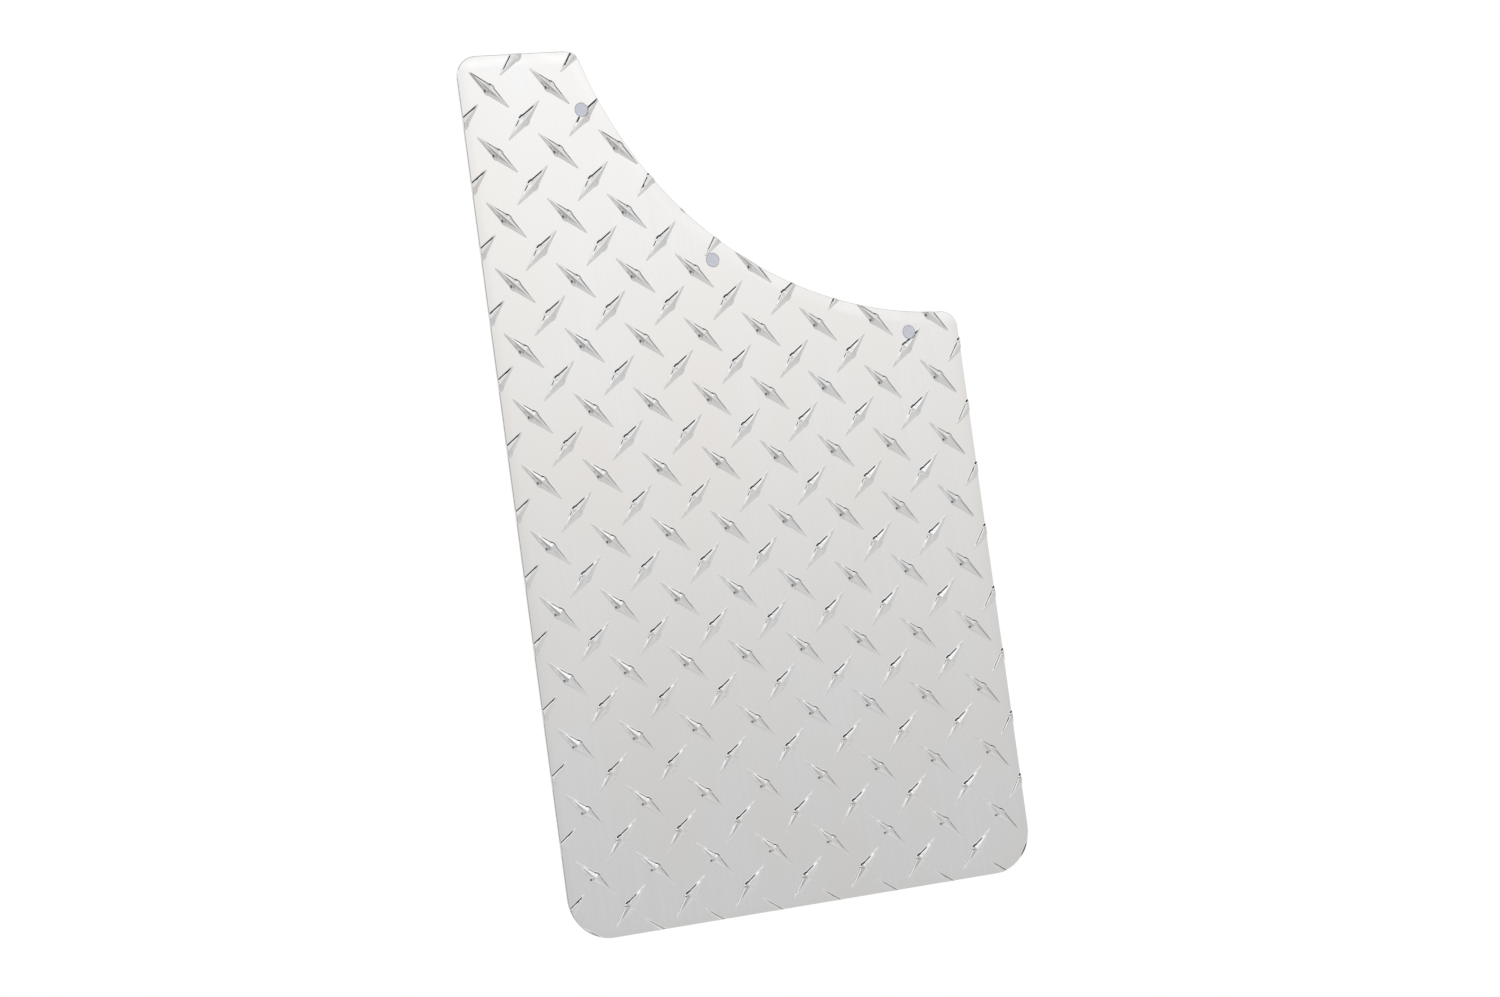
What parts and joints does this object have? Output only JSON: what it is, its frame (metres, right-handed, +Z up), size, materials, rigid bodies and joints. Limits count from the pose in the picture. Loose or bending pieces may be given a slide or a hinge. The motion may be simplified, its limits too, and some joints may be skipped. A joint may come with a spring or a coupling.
{
  "type": "mud flap",
  "caption": "Flat bright aluminium tread-plate mud flap with raised lugs and a concave wheel-arch cut-out, hung on flush-head studs with flat washers, split lock washers and hex nuts.",
  "frame": {"origin": "on the middle stud's axis, on the sheet's smooth back face", "axes": "+X to the right as the lugged front is seen, +Y out of the back along the studs, +Z up along the straight sides"},
  "size_m": [0.3048, 0.0188, 0.515],
  "materials": {
    "bright_aluminium": "bright mill finish, rolled raised lugs",
    "zinc_stud": "satin zinc plate",
    "zinc_washer": "satin zinc plate",
    "spring_steel": "dull zinc plate on spring steel",
    "zinc_nut": "zinc plate"
  },
  "bodies": {
    "root": {"tread_plate": "bright_aluminium", "stud_neck": "zinc_stud", "stud_middle": "zinc_stud", "stud_shoulder": "zinc_stud", "washer_neck": "zinc_washer", "washer_middle": "zinc_washer", "washer_shoulder": "zinc_washer", "lock_washer_neck": "spring_steel", "lock_washer_middle": "spring_steel", "lock_washer_shoulder": "spring_steel", "nut_neck": "zinc_nut", "nut_middle": "zinc_nut", "nut_shoulder": "zinc_nut"}
  },
  "joints": []
}
